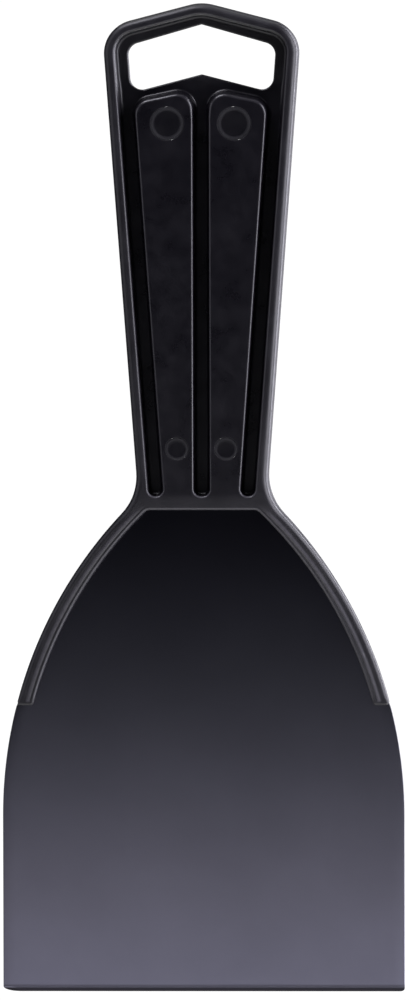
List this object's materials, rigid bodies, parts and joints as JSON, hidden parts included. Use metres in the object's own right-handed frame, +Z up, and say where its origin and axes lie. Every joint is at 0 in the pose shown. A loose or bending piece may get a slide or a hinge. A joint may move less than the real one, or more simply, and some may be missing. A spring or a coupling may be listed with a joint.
{
  "type": "flexible putty knife",
  "caption": "Putty knife with a wide, thin, springy steel blade, a black moulded handle with a hang hole, and two arms along the blade's shoulders.",
  "frame": {"origin": "top of the hang hole, on the middle plane of the blade, where a nail or hook holds the knife", "axes": "+Z up along the handle away from the blade, +X along the blade's width, -Y out of the front face"},
  "size_m": [0.0762, 0.0128, 0.1873],
  "materials": {
    "handle_plastic": "moulded, fine grain, satin",
    "pin_plastic": "moulded, smooth, satin",
    "blade_steel": "blue-black tempered spring steel, oiled"
  },
  "bodies": {
    "handle": {"handle_front": "handle_plastic", "handle_rear": "handle_plastic", "blade_tang": "blade_steel", "pin_upper_left": "pin_plastic", "pin_upper_right": "pin_plastic", "pin_lower_left": "pin_plastic", "pin_lower_right": "pin_plastic"},
    "blade": {"blade": "blade_steel"}
  },
  "joints": [
    {"name": "blade_flex", "type": "hinge", "parent": "handle", "child": "blade", "pos_m": [0, 0, -0.12945], "axis": [1, 0, 0], "range_deg": [-28, 28], "stiffness_Nm_per_rad": 6}
  ]
}
